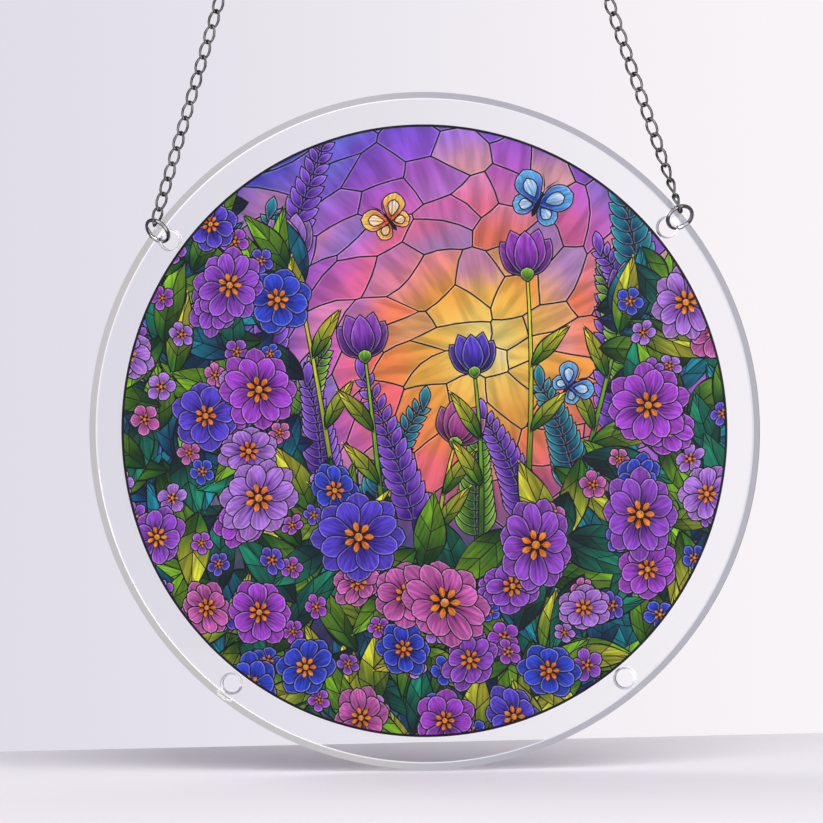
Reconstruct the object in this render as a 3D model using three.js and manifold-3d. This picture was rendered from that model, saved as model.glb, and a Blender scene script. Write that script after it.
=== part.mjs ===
// Acrylic suncatcher: a round clear plate that hangs from a curb chain by two jump rings.
// Millimetres, +Z up, the front faces -Y, and the plate stands in the plane y = 0.
// The origin is the hanging point: the underside of the chain's top link, where a hook bears.
import * as THREE from 'three';
import { mergeVertices } from 'three/addons/utils/BufferGeometryUtils.js';
import Module from 'manifold-3d';

const wasm = await Module();
wasm.setup();

// The plate: its polished rim bevel, and four drilled holes with countersunk mouths.
const PLATE_RADIUS = 100;
const PLATE_THICKNESS = 2.8;
const BEVEL_WIDTH = 2.1;
const BEVEL_DEPTH = 0.8;
const HOLE_BORE = 5.4;
const HOLE_MOUTH = 6.6;
const HOLE_INSET = 5.7;
const UPPER_HOLE_ANGLE = 51.9;
const LOWER_HOLE_ANGLE = 38.5;
const PLATE_SIDES = 108;
const HOLE_SIDES = 14;

// The jump rings: each passes through an upper hole and round the rim, as flat as the plate lets it.
// The chain's pull draws its wire from the hole's middle towards the rim.
const RING_WIRE = 1.3;
const RING_PULL = 0.9;
const RING_PAST_RIM = 2.9;
const RING_LIFT = 1.4;
const RING_WIRE_SIDES = 6;
const RING_STEPS = 20;

// The chain: oval wire links, each twisted a quarter turn, so that the whole chain lies flat.
const LINK_LENGTH = 6.4;
const LINK_WIDTH = 3.65;
const LINK_WIRE = 0.85;
const LINK_TWIST = -90;
const LINK_OVAL = 0.5;
const LINK_BEDDING = 0.06;
const LINKS_A_SIDE = 54;
const LINK_WIRE_SIDES = 3;
const LINK_STEPS = 8;

// How the chain hooks on: the clear gap at each hook, the place on the top link's bow, and the most
// that one link can turn against the next where the flat chain turns to stand square on a wire.
const RING_HOOK_GAP = 0.6;
const TOP_HOOK_GAP = 0.4;
const TOP_HOOK_ANGLE = 60;
const TURN_A_LINK = 16;

const FRONT = new THREE.Vector3(0, -1, 0);
const BACK = new THREE.Vector3(0, 1, 0);
const UP = new THREE.Vector3(0, 0, 1);
const radians = THREE.MathUtils.degToRad;

const acrylic = new THREE.MeshStandardMaterial({ name: 'clear_acrylic', color: 0xeef1f5 });
acrylic.roughness = 0.05;
const steel = new THREE.MeshStandardMaterial({ name: 'chain_steel', color: 0x8d8a88 });
steel.roughness = 0.25;
steel.metalness = 1;

// Corners nearer than this are one corner.
const CORNER_MERGE = 1e-5;

// A geometry whose corners are shared, as a solid that can be joined and cut.
function toSolid(geometry) {
  const bare = geometry.clone();
  bare.deleteAttribute('normal');
  bare.deleteAttribute('uv');
  const shared = mergeVertices(bare, CORNER_MERGE);
  return new wasm.Manifold(new wasm.Mesh({
    numProp: 3,
    vertProperties: new Float32Array(shared.attributes.position.array),
    triVerts: new Uint32Array(shared.index.array),
  }));
}

function toGeometry(solid) {
  const mesh = solid.getMesh();
  const geometry = new THREE.BufferGeometry();
  geometry.setAttribute('position', new THREE.BufferAttribute(mesh.vertProperties, 3));
  geometry.setIndex(new THREE.BufferAttribute(mesh.triVerts, 1));
  geometry.computeVertexNormals();
  return geometry;
}

function namedMesh(name, geometry, material) {
  const mesh = new THREE.Mesh(geometry, material);
  mesh.name = name;
  return mesh;
}

// A direction in the plate's plane, at an angle from straight up, positive towards +X.
function spoke(angle) {
  return new THREE.Vector3(Math.sin(radians(angle)), 0, Math.cos(radians(angle)));
}

// The plate in its own frame, its axis along Y.
const HALF_PLATE = PLATE_THICKNESS / 2;
const HOLE_RADIUS_AT = PLATE_RADIUS - HOLE_INSET;

function plateBlank() {
  const landHeight = HALF_PLATE - BEVEL_DEPTH;
  const profile = [
    new THREE.Vector2(0, -HALF_PLATE),
    new THREE.Vector2(PLATE_RADIUS - BEVEL_WIDTH, -HALF_PLATE),
    new THREE.Vector2(PLATE_RADIUS, -landHeight),
    new THREE.Vector2(PLATE_RADIUS, landHeight),
    new THREE.Vector2(PLATE_RADIUS - BEVEL_WIDTH, HALF_PLATE),
    new THREE.Vector2(0, HALF_PLATE),
  ];
  return new THREE.LatheGeometry(profile, PLATE_SIDES);
}

// What the drill and the countersink take away: a bore with a 45 degree mouth on both faces.
function holeCutter(angle) {
  const sink = (HOLE_MOUTH - HOLE_BORE) / 2;
  const past = HOLE_BORE / 2;
  const profile = [
    new THREE.Vector2(0, -HALF_PLATE - past),
    new THREE.Vector2(HOLE_MOUTH / 2 + past, -HALF_PLATE - past),
    new THREE.Vector2(HOLE_BORE / 2, -HALF_PLATE + sink),
    new THREE.Vector2(HOLE_BORE / 2, HALF_PLATE - sink),
    new THREE.Vector2(HOLE_MOUTH / 2 + past, HALF_PLATE + past),
    new THREE.Vector2(0, HALF_PLATE + past),
  ];
  const centre = spoke(angle).multiplyScalar(HOLE_RADIUS_AT);
  return new THREE.LatheGeometry(profile, HOLE_SIDES).translate(centre.x, centre.y, centre.z);
}

function plateGeometry() {
  const angles = [
    -UPPER_HOLE_ANGLE,
    UPPER_HOLE_ANGLE,
    180 - LOWER_HOLE_ANGLE,
    180 + LOWER_HOLE_ANGLE,
  ];
  let plate = toSolid(plateBlank());
  for (const angle of angles) {
    plate = plate.subtract(toSolid(holeCutter(angle)));
  }
  return toGeometry(plate);
}

// A jump ring's wire runs from inside its hole to past the rim, so its size follows the hole's inset.
// It leans off the plate's face just far enough for its front half to clear that face.
const RING_RADIUS = (HOLE_INSET - RING_PULL + RING_PAST_RIM) / 2;
const RING_LEAN = Math.asin((HALF_PLATE + RING_LIFT) / RING_RADIUS);

// side is -1 for the left ring and 1 for the right one. All places are from the plate's centre.
function ringFrame(side) {
  const outward = spoke(side * UPPER_HOLE_ANGLE);
  const along = spoke(side * (UPPER_HOLE_ANGLE - 90));
  const leaning = along.multiplyScalar(Math.cos(RING_LEAN)).addScaledVector(FRONT, Math.sin(RING_LEAN));
  const axis = new THREE.Vector3().crossVectors(outward, leaning);
  const centre = outward.clone().multiplyScalar(HOLE_RADIUS_AT + RING_PULL + RING_RADIUS);
  return { outward, leaning, axis, centre };
}

function ringMesh(name, side, plateCentre) {
  const { outward, leaning, axis, centre } = ringFrame(side);
  const ring = new THREE.TorusGeometry(RING_RADIUS, RING_WIRE / 2, RING_WIRE_SIDES, RING_STEPS);
  const mesh = namedMesh(name, ring, steel);
  mesh.quaternion.setFromRotationMatrix(new THREE.Matrix4().makeBasis(outward, leaning, axis));
  mesh.position.addVectors(plateCentre, centre);
  return mesh;
}

// The middle of the ring's wire where a pull in that direction holds it.
function ringPullPoint(side, pull) {
  const { axis, centre } = ringFrame(side);
  const inPlane = pull.clone().addScaledVector(axis, -pull.dot(axis)).normalize();
  return centre.addScaledVector(inPlane, RING_RADIUS);
}

// A link's middle line in its own plane: across and along, at an angle round the oval.
const HALF_LINK = (LINK_LENGTH - LINK_WIRE) / 2;
const HALF_WIDTH = (LINK_WIDTH - LINK_WIRE) / 2;
const LINK_PITCH = LINK_LENGTH - 2 * LINK_WIRE;

function ovalAt(angle) {
  const sine = Math.sin(angle);
  const pulled = Math.sign(sine) * Math.abs(sine) ** LINK_OVAL;
  const along = HALF_WIDTH * sine + (HALF_LINK - HALF_WIDTH) * pulled;
  return new THREE.Vector2(HALF_WIDTH * Math.cos(angle), along);
}

// The link's twist about its long axis, at a place along it.
function twistAt(along) {
  return radians(LINK_TWIST / 2) * along / HALF_LINK;
}

// The same middle line in space: the long axis is Z, and the oval twists about it from end to end.
function linkLineAt(angle) {
  const flat = ovalAt(angle);
  const twist = twistAt(flat.y);
  return new THREE.Vector3(flat.x * Math.cos(twist), flat.x * Math.sin(twist), flat.y);
}

// One link, bent from a ring: each corner of the ring's wire moves to the same place round the oval.
// A corner of the wire's section points into the link, and beds a little into the neighbour's.
function linkGeometry() {
  const bigRadius = 2;
  const wireRadius = LINK_WIRE / 2 + LINK_BEDDING;
  const link = new THREE.TorusGeometry(bigRadius, 1, LINK_WIRE_SIDES, LINK_STEPS);
  const corners = link.attributes.position;
  const corner = new THREE.Vector3();
  for (let i = 0; i < corners.count; i += 1) {
    corner.fromBufferAttribute(corners, i);
    const round = Math.atan2(corner.y, corner.x) + Math.PI / 2;
    const fromWire = Math.hypot(corner.x, corner.y) - bigRadius;
    const section = Math.atan2(corner.z, fromWire) + Math.PI / LINK_WIRE_SIDES;
    const middle = ovalAt(round);
    const out = Math.cos(section) * wireRadius;
    const deep = -Math.sin(section) * wireRadius;
    const across = middle.x + Math.cos(round) * out;
    const along = middle.y + Math.sin(round) * out;
    const twist = twistAt(middle.y);
    const x = across * Math.cos(twist) - deep * Math.sin(twist);
    const y = across * Math.sin(twist) + deep * Math.cos(twist);
    corners.setXYZ(i, x, y, along);
  }
  return link;
}

// The turn that is left after some links of the flat chain have taken up their share.
function turnLeft(turn, links) {
  return Math.sign(turn) * Math.max(0, Math.abs(turn) - TURN_A_LINK * links);
}

// One side of the chain, from its lowest link at the origin up along Z, fused where the links bear.
function strandGeometry(lowTurn, highTurn) {
  const link = toSolid(linkGeometry());
  let strand = link.rotate([0, 0, lowTurn]);
  for (let i = 1; i < LINKS_A_SIDE; i += 1) {
    const turn = turnLeft(lowTurn, i) + turnLeft(highTurn, LINKS_A_SIDE - 1 - i);
    strand = strand.add(link.rotate([0, 0, turn]).translate([0, 0, LINK_PITCH * i]));
  }
  return toGeometry(strand);
}

// The top link lies across the hook. Its middle is as high as puts its underside on the origin.
const TOP_LINK_CENTRE = new THREE.Vector3(0, 0, LINK_WIDTH / 2);

// The top link's middle line where one side of the chain hangs, low on that end's bow, and
// further round it by the given angle.
function topHookPoint(side, further = 0) {
  const round = side * (90 + TOP_HOOK_ANGLE) + further;
  const line = linkLineAt(radians(round));
  return new THREE.Vector3(line.z, -line.y, line.x).add(TOP_LINK_CENTRE);
}

// The frame of one side of the chain: across its flat face, through it to the back, and up its length.
function strandFrame(pull) {
  const across = new THREE.Vector3().crossVectors(BACK, pull).normalize();
  const deep = new THREE.Vector3().crossVectors(pull, across);
  return { across, deep };
}

// How far a link turns about the pull, so that it stands square on the wire that it hooks round,
// at that wire's place along the link.
function squareTurn(wireRun, pull, place) {
  const { across, deep } = strandFrame(pull);
  const wireAngle = THREE.MathUtils.radToDeg(Math.atan2(wireRun.dot(deep), wireRun.dot(across)));
  const turn = wireAngle + 90 - THREE.MathUtils.radToDeg(twistAt(place));
  return turn - 180 * Math.round(turn / 180);
}

// Between ring wire and top link wire the chain has this length along its own line.
const RING_HOOK_REACH = HALF_LINK - (RING_WIRE + LINK_WIRE) / 2 - RING_HOOK_GAP;
const TOP_HOOK_REACH = HALF_LINK - LINK_WIRE - TOP_HOOK_GAP;
const STRAND_LENGTH = LINK_PITCH * (LINKS_A_SIDE - 1) + RING_HOOK_REACH + TOP_HOOK_REACH;

// How far below the origin the plate's centre hangs. The height and the direction of the chain's
// pull on its ring follow each other, so they are found together in a few passes.
function plateDrop() {
  const passes = 8;
  const top = topHookPoint(1);
  let drop = PLATE_RADIUS + STRAND_LENGTH;
  for (let pass = 0; pass < passes; pass += 1) {
    const ringCentre = ringFrame(1).centre.addScaledVector(UP, -drop);
    const pull = top.clone().sub(ringCentre).normalize();
    const low = ringPullPoint(1, pull);
    const rise = Math.sqrt(STRAND_LENGTH ** 2 - (top.x - low.x) ** 2 - (top.y - low.y) ** 2);
    drop = rise + low.z - top.z;
  }
  return drop;
}

function strandMesh(name, side, plateCentre) {
  const top = topHookPoint(side);
  const { axis, centre } = ringFrame(side);
  const ringCentre = centre.add(plateCentre);
  const towardsTop = top.clone().sub(ringCentre).normalize();
  const low = ringPullPoint(side, towardsTop).add(plateCentre);
  const pull = top.clone().sub(low).normalize();
  const ringRun = new THREE.Vector3().crossVectors(axis, low.clone().sub(ringCentre));
  const topRun = topHookPoint(side, 1).sub(topHookPoint(side, -1));
  const lowTurn = squareTurn(ringRun, pull, -RING_HOOK_REACH - LINK_WIRE / 2);
  const highTurn = squareTurn(topRun, pull, TOP_HOOK_REACH + LINK_WIRE / 2);
  const { across, deep } = strandFrame(pull);
  const mesh = namedMesh(name, strandGeometry(lowTurn, highTurn), steel);
  mesh.quaternion.setFromRotationMatrix(new THREE.Matrix4().makeBasis(across, deep, pull));
  mesh.position.copy(low).addScaledVector(pull, RING_HOOK_REACH);
  return mesh;
}

function topLinkMesh() {
  const mesh = namedMesh('chain_top_link', linkGeometry(), steel);
  const lengthwise = new THREE.Vector3(1, 0, 0);
  mesh.quaternion.setFromRotationMatrix(new THREE.Matrix4().makeBasis(UP, FRONT, lengthwise));
  mesh.position.copy(TOP_LINK_CENTRE);
  return mesh;
}

const plateCentre = new THREE.Vector3(0, 0, -plateDrop());

const plate = namedMesh('acrylic_plate', plateGeometry(), acrylic);
plate.position.copy(plateCentre);

const suncatcher = new THREE.Group();
suncatcher.name = 'suncatcher';
suncatcher.add(
  plate,
  ringMesh('jump_ring_left', -1, plateCentre),
  ringMesh('jump_ring_right', 1, plateCentre),
  strandMesh('chain_left', -1, plateCentre),
  strandMesh('chain_right', 1, plateCentre),
  topLinkMesh(),
);

export default suncatcher;
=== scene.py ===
# %% [markdown]
# # A round acrylic suncatcher on a chain
# The real thing is a clear disc of cast acrylic, 20 cm across, with a picture printed on its back
# face in the manner of stained glass. Two jump rings pass through holes near the rim, and a curb
# chain runs from one ring up to a hook and down to the other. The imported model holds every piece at
# its true place. This script dresses it: a finely sided plate, the printed picture, split wire
# rings, and links of round twisted wire.
# Everything is in metres, +Z is up, and the picture faces -Y.

import math
import random

import bmesh
import bpy
import numpy as np
from mathutils import Matrix, Vector, noise
from mathutils.geometry import delaunay_2d_cdt


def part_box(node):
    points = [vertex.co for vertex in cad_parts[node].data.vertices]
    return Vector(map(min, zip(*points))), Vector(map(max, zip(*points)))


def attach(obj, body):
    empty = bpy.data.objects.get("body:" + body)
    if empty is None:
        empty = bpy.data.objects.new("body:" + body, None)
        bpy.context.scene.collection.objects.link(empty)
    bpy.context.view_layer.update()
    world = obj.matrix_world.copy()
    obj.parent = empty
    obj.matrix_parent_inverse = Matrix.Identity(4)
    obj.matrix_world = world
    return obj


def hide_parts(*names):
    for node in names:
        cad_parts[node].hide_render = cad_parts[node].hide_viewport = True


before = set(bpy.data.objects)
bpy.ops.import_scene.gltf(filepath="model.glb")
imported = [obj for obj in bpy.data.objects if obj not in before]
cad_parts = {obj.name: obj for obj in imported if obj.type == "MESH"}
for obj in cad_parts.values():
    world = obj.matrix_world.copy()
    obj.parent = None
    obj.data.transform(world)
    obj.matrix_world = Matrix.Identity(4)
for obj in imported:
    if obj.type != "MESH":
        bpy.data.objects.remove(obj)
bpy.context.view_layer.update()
MM = 0.001
print("frame nodes:", sorted(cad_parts))

# %% [markdown]
# ## Working as by hand
# Blender's operators act on whatever is selected, so each step starts with nothing selected. These
# small helpers do what a click does: they clear the selection, pick faces by where they look, and
# fix a finished piece's place in its mesh so that its object sits at the origin.

# %% Small helpers
def clear_selection():
    if bpy.context.mode != "OBJECT":
        bpy.ops.object.mode_set(mode="OBJECT")
    bpy.ops.object.select_all(action="DESELECT")


def pick(piece):
    """Makes one piece the only selected one, and the active one."""
    clear_selection()
    piece.select_set(True)
    bpy.context.view_layer.objects.active = piece


def fix_place(piece):
    pick(piece)
    bpy.ops.object.transform_apply(location=True, rotation=True, scale=True)


def select_faces(piece, wanted):
    """Enters edit mode on a piece with only those faces selected for which wanted(face) is true."""
    pick(piece)
    bpy.ops.object.mode_set(mode="EDIT")
    bpy.ops.mesh.select_mode(type="FACE")
    bpy.ops.mesh.select_all(action="DESELECT")
    mesh = bmesh.from_edit_mesh(piece.data)
    for face in mesh.faces:
        face.select_set(wanted(face))
    bmesh.update_edit_mesh(piece.data)


def apply_modifier(piece, kind, **settings):
    pick(piece)
    modifier = piece.modifiers.new(kind.title(), kind)
    for name, value in settings.items():
        setattr(modifier, name, value)
    bpy.ops.object.modifier_apply(modifier=modifier.name)


def turn_faces_out(piece):
    pick(piece)
    bpy.ops.object.mode_set(mode="EDIT")
    bpy.ops.mesh.select_all(action="SELECT")
    bpy.ops.mesh.normals_make_consistent(inside=False)
    bpy.ops.object.mode_set(mode="OBJECT")


def report(piece):
    print(piece.name, "faces:", len(piece.data.polygons))


# %% [markdown]
# ## The acrylic plate
# A disc sawn or lasered from 2.8 mm sheet, with a bevel polished round both edges of its rim and
# four holes drilled and countersunk. A lathe profile could be spun, but a cylinder whose two ends
# are extruded and drawn in gives the bevel in two steps, and the same steps with the ends drawn
# out give the countersinking drill. The drill is taken away from the plate with a boolean. A last
# small bevel rounds each sharp line, as polishing does, because that is where clear acrylic
# catches the light.

# %% Sizes of the plate
plate_low, plate_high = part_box("acrylic_plate")
PLATE_CENTRE = (plate_low + plate_high) / 2
PLATE_RADIUS = (plate_high.x - plate_low.x) / 2
HALF_PLATE = (plate_high.y - plate_low.y) / 2
BEVEL_WIDTH = 2.1 * MM
BEVEL_DEPTH = 0.8 * MM
HOLE_BORE = 5.4 * MM
HOLE_MOUTH = 6.6 * MM
HOLE_INSET = 5.7 * MM
UPPER_HOLE_ANGLE = 51.9
LOWER_HOLE_ANGLE = 38.5
PLATE_SIDES = 256
HOLE_SIDES = 48
POLISHED_EDGE = 0.32 * MM
SHARPEST_SMOOTH = math.radians(15)
print("plate radius mm:", PLATE_RADIUS / MM, "thickness mm:", 2 * HALF_PLATE / MM)


# %% A disc with drawn ends
def drawn_disc(name, centre, sides, radius, half_land, step, end_radius):
    """A disc along Y: a land of one radius, and ends a step further out with another radius."""
    clear_selection()
    bpy.ops.mesh.primitive_cylinder_add(
        vertices=sides,
        radius=radius,
        depth=2 * half_land,
        location=centre,
        rotation=(math.radians(90), 0, 0),
    )
    disc = bpy.context.object
    disc.name = name
    fix_place(disc)
    select_faces(disc, lambda face: abs(face.normal.y) > 0.9)
    bpy.ops.mesh.extrude_region_shrink_fatten(TRANSFORM_OT_shrink_fatten={"value": step})
    share = end_radius / radius
    bpy.ops.transform.resize(value=(share, 1, share), center_override=centre)
    bpy.ops.object.mode_set(mode="OBJECT")
    return disc


def spoke(angle):
    """A direction in the plate's plane, at an angle from straight up, positive towards +X."""
    return Vector((math.sin(math.radians(angle)), 0, math.cos(math.radians(angle))))


# %% Turn the plate
plate = drawn_disc(
    "clear_plate", PLATE_CENTRE, PLATE_SIDES, PLATE_RADIUS,
    HALF_PLATE - BEVEL_DEPTH, BEVEL_DEPTH, PLATE_RADIUS - BEVEL_WIDTH,
)
report(plate)

# %% Drill the four holes
sink = (HOLE_MOUTH - HOLE_BORE) / 2
past_face = 1 * MM
upper = (-UPPER_HOLE_ANGLE, UPPER_HOLE_ANGLE)
lower = (180 - LOWER_HOLE_ANGLE, 180 + LOWER_HOLE_ANGLE)
for angle in upper + lower:
    place = PLATE_CENTRE + spoke(angle) * (PLATE_RADIUS - HOLE_INSET)
    drill = drawn_disc(
        "drill", place, HOLE_SIDES, HOLE_BORE / 2,
        HALF_PLATE - sink, sink + past_face, HOLE_MOUTH / 2 + past_face,
    )
    apply_modifier(plate, "BOOLEAN", operation="DIFFERENCE", solver="EXACT", object=drill)
    bpy.data.objects.remove(drill)
report(plate)

# %% Polish the edges
apply_modifier(
    plate, "BEVEL", width=POLISHED_EDGE, segments=3, limit_method="ANGLE",
    angle_limit=SHARPEST_SMOOTH,
)
pick(plate)
bpy.ops.object.shade_smooth_by_angle(angle=SHARPEST_SMOOTH)
apply_modifier(plate, "WEIGHTED_NORMAL", keep_sharp=True)
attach(plate, "root")
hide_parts("acrylic_plate")
report(plate)

# %% [markdown]
# ## The jump rings
# Each is one turn of 1.3 mm plated wire, cut square and closed until the ends nearly meet. Because
# the plate is thick, the ring can't lie flat on it: it leans through the hole. A torus has no
# split, so the wire's round section is spun about the ring's middle for a little less than a full
# turn, and the first and last faces stay as the cut ends.

# %% Sizes of the rings
RING_WIRE = 1.3 * MM
RING_RADIUS = 3.85 * MM
RING_LIFT = 1.4 * MM
RING_LEAN = math.asin((HALF_PLATE + RING_LIFT) / RING_RADIUS)
RING_STEPS = 88
RING_WIRE_SIDES = 18
RING_SPLIT = 0.14 * MM
SPLIT_AT = {-1: -70, 1: -52}


def ring_frame(side):
    """Centre, outward, leaning and axis of the ring on one side: -1 is left, 1 is right."""
    name = "jump_ring_left" if side < 0 else "jump_ring_right"
    low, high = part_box(name)
    centre = (low + high) / 2
    outward = (centre - PLATE_CENTRE).normalized()
    along = outward.cross(Vector((0, 1, 0))) * side
    leaning = along * math.cos(RING_LEAN) + Vector((0, -1, 0)) * math.sin(RING_LEAN)
    return centre, outward, leaning, outward.cross(leaning)


# %% Spin the wire into a split ring
def split_ring(side):
    centre, outward, leaning, axis = ring_frame(side)
    clear_selection()
    bpy.ops.mesh.primitive_circle_add(
        vertices=RING_WIRE_SIDES,
        radius=RING_WIRE / 2,
        fill_type="NGON",
        location=(RING_RADIUS, 0, 0),
        rotation=(math.radians(90), 0, 0),
    )
    ring = bpy.context.object
    ring.name = "split_ring_left" if side < 0 else "split_ring_right"
    fix_place(ring)
    bpy.ops.object.mode_set(mode="EDIT")
    bpy.ops.mesh.select_all(action="SELECT")
    gap = RING_SPLIT / RING_RADIUS
    bpy.ops.mesh.spin(steps=RING_STEPS, angle=2 * math.pi - gap, center=(0, 0, 0), axis=(0, 0, 1))
    bpy.ops.mesh.select_all(action="SELECT")
    bpy.ops.mesh.remove_doubles(threshold=0.001 * MM)
    turn_faces_out(ring)
    basis = Matrix((outward, leaning, axis)).transposed().to_4x4()
    turn = Matrix.Rotation(math.radians(SPLIT_AT[side]), 4, "Z")
    ring.matrix_world = Matrix.Translation(centre) @ basis @ turn
    fix_place(ring)
    bpy.ops.object.shade_smooth_by_angle(angle=math.radians(40))
    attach(ring, "root")
    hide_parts("jump_ring_left" if side < 0 else "jump_ring_right")
    report(ring)
    return ring


rings = [split_ring(-1), split_ring(1)]

# %% [markdown]
# ## The curb chain
# A curb chain starts as plain oval links of round wire, hooked through each other. Each link is
# then twisted a quarter turn, which lets the whole chain lie flat. Here one link is bent the same
# way: a closed curve with four points is drawn out to the oval, its round section gives the wire,
# and a twist modifier turns its ends. The link is then copied along both sides, each copy with its
# own mesh, at the places that the frame's strands have. The lowest and highest links turn to stand
# square on the ring and on the top link, and share that turn out over their neighbours.

# %% Sizes of a link
LINK_LENGTH = 6.4 * MM
LINK_WIDTH = 3.65 * MM
LINK_WIRE = 0.85 * MM
LINK_TWIST = -90
LINKS_A_SIDE = 54
HALF_LINK = (LINK_LENGTH - LINK_WIRE) / 2
HALF_WIDTH = (LINK_WIDTH - LINK_WIRE) / 2
LINK_PITCH = LINK_LENGTH - 2 * LINK_WIRE
SIDE_HANDLE = 2.02 * MM
END_HANDLE = 0.773 * MM
LINK_CURVE_STEPS = 4


# %% Bend one link
def bend_link():
    """One twisted link of round wire, its long axis along Z and its middle at the origin."""
    clear_selection()
    bpy.ops.curve.primitive_bezier_circle_add(radius=HALF_WIDTH, rotation=(math.radians(90), 0, 0))
    link = bpy.context.object
    link.name = "link"
    fix_place(link)
    for point in link.data.splines[0].bezier_points:
        at_side = abs(point.co.x) > abs(point.co.z)
        sideways = math.copysign(1, point.co.x) if at_side else 0
        endways = 0 if at_side else math.copysign(1, point.co.z)
        point.co = Vector((sideways * HALF_WIDTH, 0, endways * HALF_LINK))
        for handle in ("handle_left", "handle_right"):
            way = getattr(point, handle) - point.co
            run = Vector((0, 0, 1)) if at_side else Vector((1, 0, 0))
            reach = SIDE_HANDLE if at_side else END_HANDLE
            setattr(point, handle + "_type", "FREE")
            setattr(point, handle, point.co + run * math.copysign(reach, way.dot(run)))
    link.data.dimensions = "3D"
    link.data.bevel_depth = LINK_WIRE / 2
    link.data.bevel_resolution = 1
    link.data.resolution_u = LINK_CURVE_STEPS
    pick(link)
    bpy.ops.object.convert(target="MESH")
    link = bpy.context.object
    over_length = math.radians(LINK_TWIST) * LINK_LENGTH / (LINK_LENGTH - LINK_WIRE)
    apply_modifier(
        link, "SIMPLE_DEFORM", deform_method="TWIST", deform_axis="Z", angle=over_length
    )
    turn_faces_out(link)
    bpy.ops.object.shade_smooth()
    return link


link = bend_link()
report(link)

# %% Where each side of the chain hooks on
RING_HOOK_REACH = HALF_LINK - (RING_WIRE + LINK_WIRE) / 2 - 0.6 * MM
TOP_HOOK_REACH = HALF_LINK - LINK_WIRE - 0.4 * MM
TOP_HOOK_ANGLE = 60
TURN_A_LINK = 16
TOP_LINK_CENTRE = Vector((0, 0, LINK_WIDTH / 2))


def twist_at(along):
    return math.radians(LINK_TWIST / 2) * along / HALF_LINK


def top_hook_point(side, further=0):
    """The top link's middle line where one side hangs, low on that end's bow."""
    angle = math.radians(side * (90 + TOP_HOOK_ANGLE) + further)
    sine = math.sin(angle)
    pulled = math.copysign(abs(sine) ** 0.5, sine)
    across = HALF_WIDTH * math.cos(angle)
    along = HALF_WIDTH * sine + (HALF_LINK - HALF_WIDTH) * pulled
    twist = twist_at(along)
    return TOP_LINK_CENTRE + Vector((along, -across * math.sin(twist), across * math.cos(twist)))


def strand_frame(side):
    """Where the lowest link hooks, and the directions across, through and up one side."""
    centre, outward, leaning, axis = ring_frame(side)
    top = top_hook_point(side)
    pull = (top - centre).normalized()
    in_plane = (pull - axis * pull.dot(axis)).normalized()
    low = centre + in_plane * RING_RADIUS
    up = (top - low).normalized()
    across = Vector((0, 1, 0)).cross(up).normalized()
    deep = up.cross(across)
    ring_run = axis.cross(low - centre)
    top_run = top_hook_point(side, 1) - top_hook_point(side, -1)
    return low, across, deep, up, ring_run, top_run


# %% Copy the link along one side
def square_turn(wire_run, across, deep, place):
    """How far a link turns to stand square on the wire that it hooks round, in degrees."""
    wire_angle = math.degrees(math.atan2(wire_run.dot(deep), wire_run.dot(across)))
    turn = wire_angle + 90 - math.degrees(twist_at(place))
    return turn - 180 * round(turn / 180)


def turn_left(turn, links):
    return math.copysign(max(0, abs(turn) - TURN_A_LINK * links), turn)


def hang_side(side):
    low, across, deep, up, ring_run, top_run = strand_frame(side)
    low_turn = square_turn(ring_run, across, deep, -RING_HOOK_REACH - LINK_WIRE / 2)
    high_turn = square_turn(top_run, across, deep, TOP_HOOK_REACH + LINK_WIRE / 2)
    basis = Matrix((across, deep, up)).transposed().to_4x4()
    copies = []
    for i in range(LINKS_A_SIDE):
        turn = turn_left(low_turn, i) + turn_left(high_turn, LINKS_A_SIDE - 1 - i)
        copy = link.copy()
        copy.data = link.data.copy()
        bpy.context.collection.objects.link(copy)
        place = Matrix.Translation(low + up * (RING_HOOK_REACH + LINK_PITCH * i))
        copy.matrix_world = place @ basis @ Matrix.Rotation(math.radians(turn), 4, "Z")
        copies.append(copy)
    clear_selection()
    for copy in copies:
        copy.select_set(True)
    bpy.context.view_layer.objects.active = copies[0]
    bpy.ops.object.join()
    strand = bpy.context.object
    strand.name = "curb_links_left" if side < 0 else "curb_links_right"
    fix_place(strand)
    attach(strand, "root")
    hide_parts("chain_left" if side < 0 else "chain_right")
    report(strand)
    return strand


strands = [hang_side(-1), hang_side(1)]

# %% Lay the top link across the hook
top_link = link
top_link.name = "curb_link_top"
top_basis = Matrix(((0, 0, 1), (0, -1, 0), (1, 0, 0))).transposed().to_4x4()
top_link.matrix_world = Matrix.Translation(TOP_LINK_CENTRE) @ top_basis
fix_place(top_link)
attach(top_link, "root")
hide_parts("chain_top_link")

# %% [markdown]
# ## The printed picture: how it is drawn
# The picture is ink on the plate's back face, in the manner of stained glass: small clear colours,
# each inside a black lead line with a pale glint along it. It could be painted by a texture, but
# shader nodes can't draw overlapping petals. So the picture is cut as a real stained-glass panel
# is, into flat pieces that fit edge to edge. Each shape is laid over the ones before it, as cut
# paper, and at the end one flat triangulation keeps what is on top. Each piece carries its colours
# as attributes, and its own run from foot to tip, for the nodes. Chance is seeded, with one run of
# numbers for places and one for streaks, so the picture is the same every time.
# Drawing is in millimetres from the picture's centre, x to the right and y up.

# %% Laying shapes
PRINT_RADIUS = 90.5
LEAD = 0.24
GLINT = 0.3
HAIRPIN = 0.3
LONGEST_MITRE = 1.6
SMALLEST_AREA = 0.02
LEAD_INK = Vector((0.006, 0.005, 0.012))
WHITE_INK = Vector((1, 1, 1))
KIND_LEAD = 0
KIND_SKY = 1
KIND_PETAL = 2
KIND_LEAF = 3
shapes = []
draw = random.Random(7)
streaks = random.Random(8)


def ink(red, green, blue):
    """A colour as a printer's chart gives it, 0 to 255, in linear light."""
    return Vector([((c / 255 + 0.055) / 1.055) ** 2.4 for c in (red, green, blue)])


def spin(angle):
    return Vector((math.cos(angle), math.sin(angle)))


def left_of(run):
    return Vector((-run.y, run.x)).normalized()


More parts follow.
